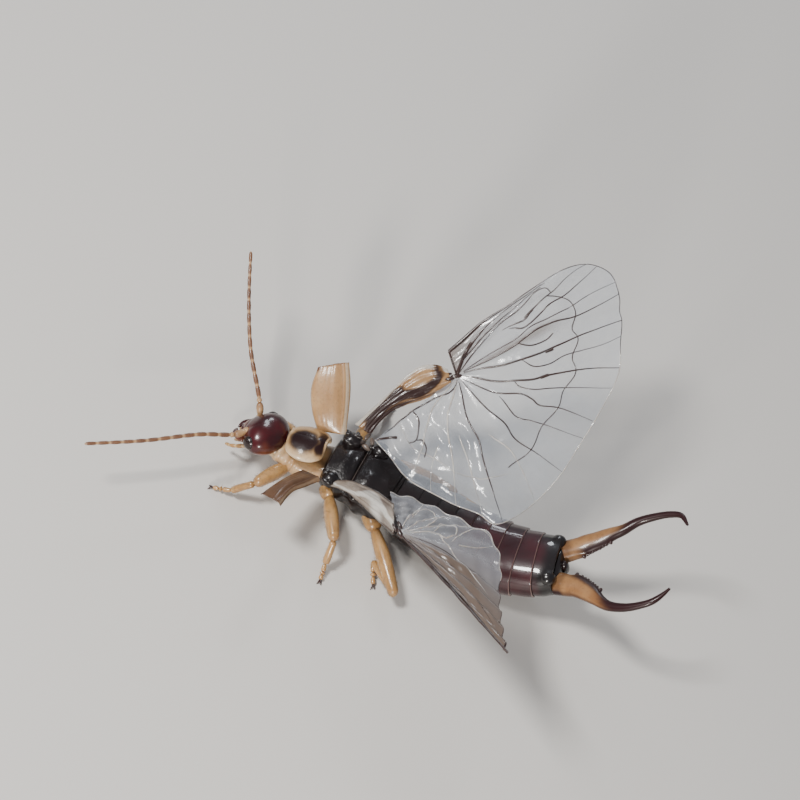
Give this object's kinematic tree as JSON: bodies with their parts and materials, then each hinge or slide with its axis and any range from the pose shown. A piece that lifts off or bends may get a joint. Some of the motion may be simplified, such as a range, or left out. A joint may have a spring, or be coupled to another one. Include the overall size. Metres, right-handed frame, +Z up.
{
  "type": "earwig",
  "caption": "Still life-size model of a male earwig standing on the floor, its short wing cases and fan-shaped hind wings open and its forceps spread.",
  "frame": {"origin": "centre of the bounding box on the floor plane, below the front of the abdomen", "axes": "+X to the head, +Y to the animal's left, +Z up from the floor"},
  "size_m": [0.022, 0.017, 0.0078],
  "materials": {
    "head_shell": "glossy dark red-brown shell",
    "eye": "glossy black",
    "palp": "pale tan, half clear",
    "antenna": "brown beads with pale joints",
    "pronotum": "dark disc with pale tan margins",
    "neck": "pale tan soft skin",
    "thorax": "glossy black plates",
    "abdomen": "glossy dark maroon rings",
    "forceps": "tan bases that turn dark maroon to the tips",
    "leg": "pale yellow-tan",
    "tegmen": "thin tan leathery wing case",
    "wing_base": "tan leathery plate with a dark brown edge",
    "membrane": "clear smoky membrane with dark veins"
  },
  "bodies": {
    "root": {"head": "head_shell", "eye_left": "eye", "eye_right": "eye", "palp_left": "palp", "palp_right": "palp", "mouth": "palp", "antenna_left": "antenna", "antenna_right": "antenna", "pronotum": "pronotum", "prothorax": "neck", "mesothorax": "thorax", "metathorax": "thorax", "abdomen_base": "abdomen", "abdomen_middle": "abdomen", "abdomen_end": "abdomen", "forceps_left": "forceps", "forceps_right": "forceps", "tegmen_left": "tegmen", "tegmen_right": "tegmen", "wing_base_left": "wing_base", "wing_base_right": "wing_base", "wing_fan_left": "membrane", "wing_fan_right": "membrane", "leg_front_left": "leg", "leg_front_right": "leg", "leg_mid_left": "leg", "leg_mid_right": "leg", "leg_hind_left": "leg", "leg_hind_right": "leg"}
  },
  "joints": []
}
